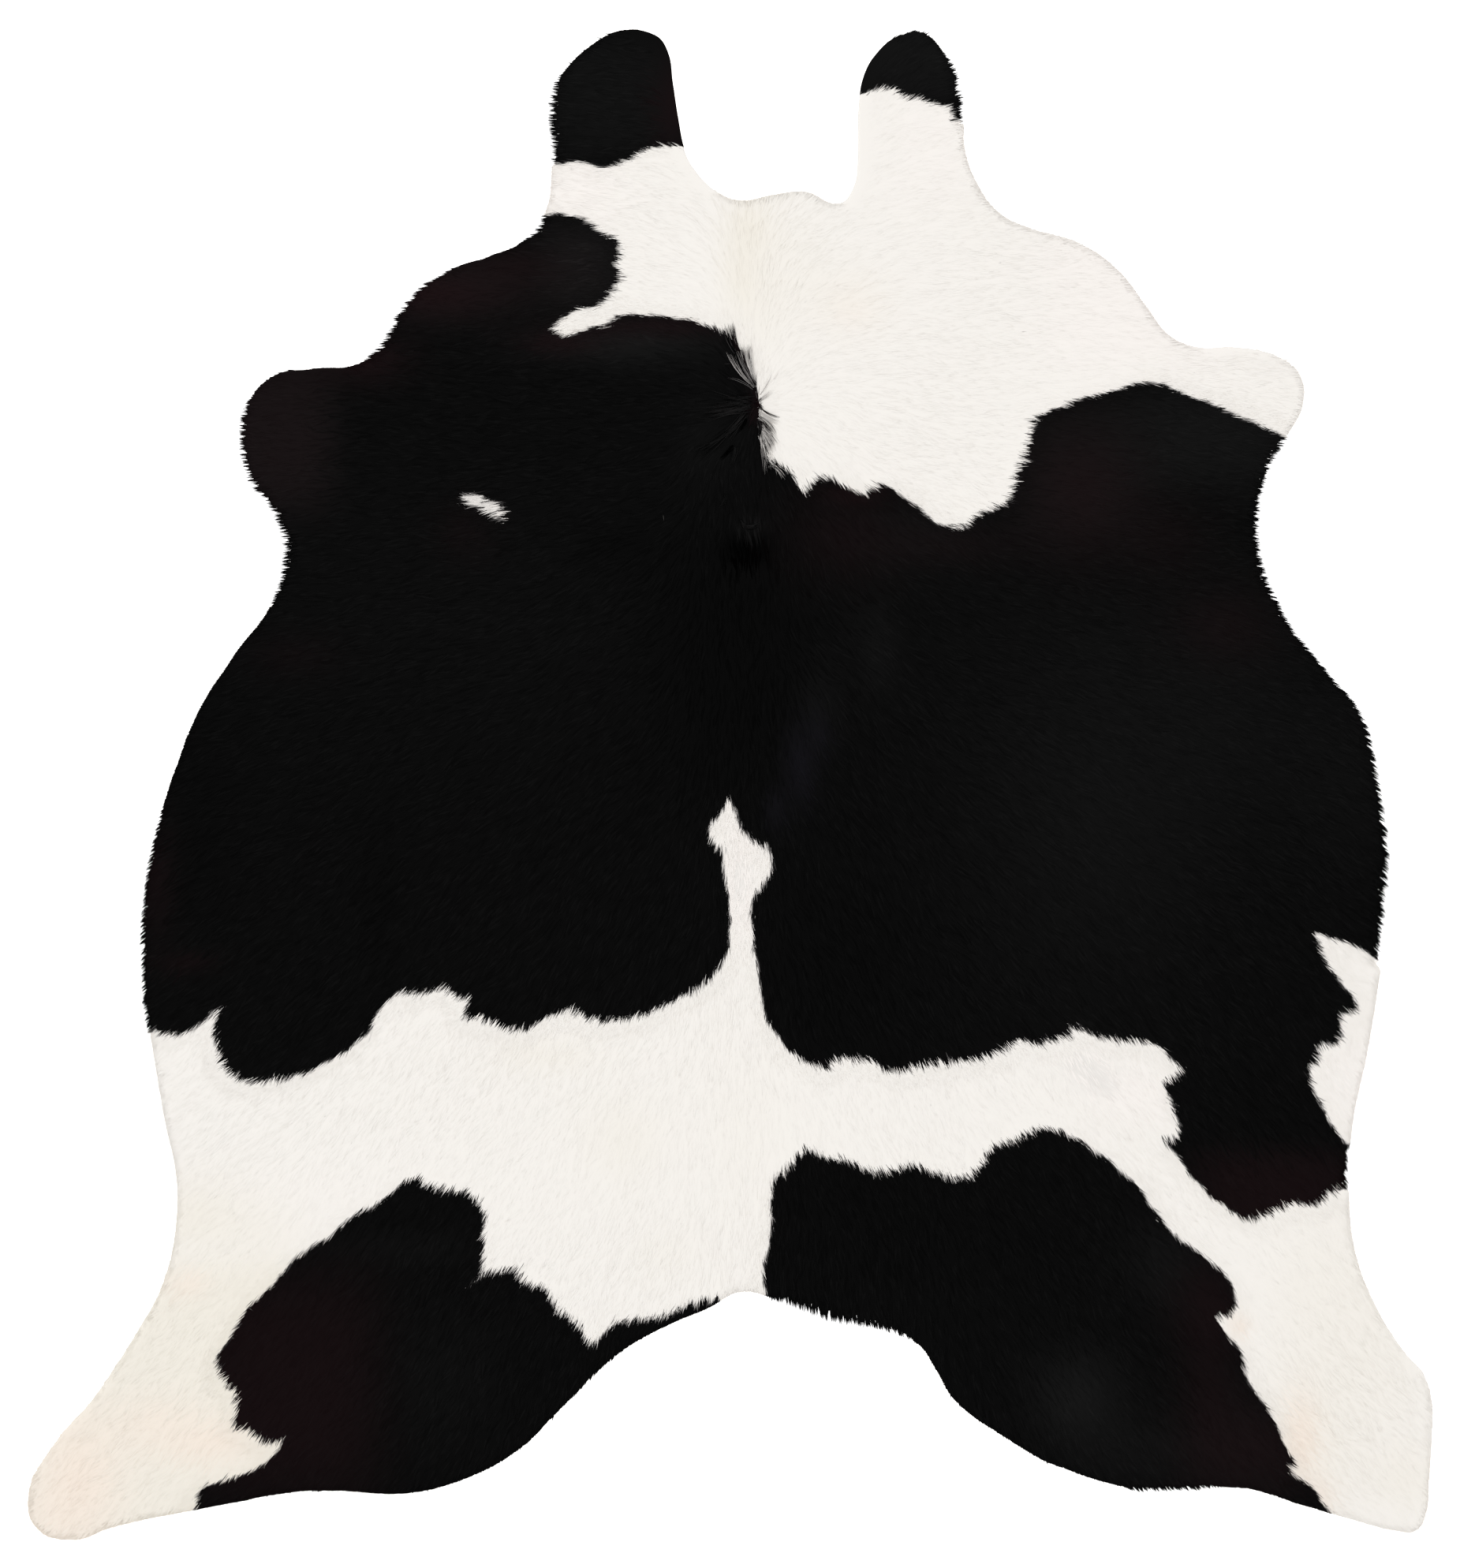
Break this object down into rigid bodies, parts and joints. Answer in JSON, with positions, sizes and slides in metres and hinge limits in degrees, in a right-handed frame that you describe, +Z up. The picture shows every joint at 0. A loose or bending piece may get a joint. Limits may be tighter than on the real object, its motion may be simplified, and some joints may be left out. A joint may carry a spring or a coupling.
{
  "type": "cowhide rug",
  "caption": "Hair-on cowhide floor rug cut from a whole hide, black and white, with neck flaps and leg lobes, lying flat on its bare leather side",
  "frame": {"origin": "Middle of the hide's box, on its underside", "axes": "+X across the hide, to the right as seen from above with the neck away from the viewer; +Y along the spine towards the neck; +Z up out of the hair"},
  "size_m": [1.9514, 2.1005, 0.005],
  "materials": {
    "coat": "short flat-lying cow hair, glossless black with patches of warm white, on chrome-tanned leather with a suede underside"
  },
  "bodies": {
    "root": {"hide": "coat"}
  },
  "joints": []
}
